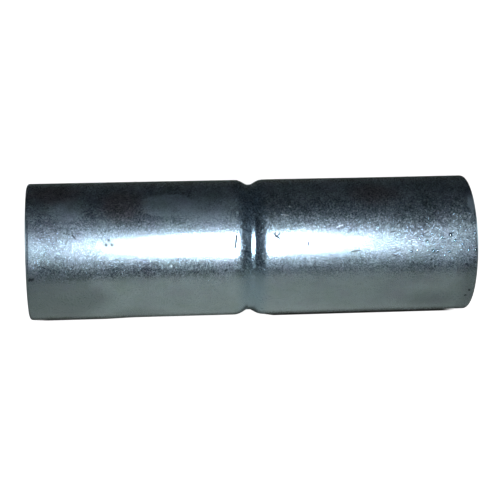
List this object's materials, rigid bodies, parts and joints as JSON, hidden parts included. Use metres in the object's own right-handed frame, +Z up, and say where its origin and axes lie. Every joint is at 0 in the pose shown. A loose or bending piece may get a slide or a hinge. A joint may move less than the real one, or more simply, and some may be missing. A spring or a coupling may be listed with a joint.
{
  "type": "rigid sleeve coupling",
  "caption": "Plain round sleeve of galvanised steel tube, with a rolled groove at mid-length whose ring inside stops the round rails that it joins end to end.",
  "frame": {"origin": "centre of the sleeve, on its axis at the middle of the groove", "axes": "+X along the sleeve's axis, out of the right socket; +Z up with the sleeve lying level; the seam weld faces +Y, 20 degrees below level"},
  "size_m": [0.1524, 0.047, 0.047],
  "materials": {
    "galvanised_strip": "hot-dip zinc, fine-grained and dulled, with grey stains and small hard zinc drops",
    "galvanised_weld": "weld trimmed flush outside and left as a low bead inside, under the same zinc"
  },
  "bodies": {
    "root": {"rolled_strip": "galvanised_strip", "seam_weld": "galvanised_weld"}
  },
  "joints": []
}
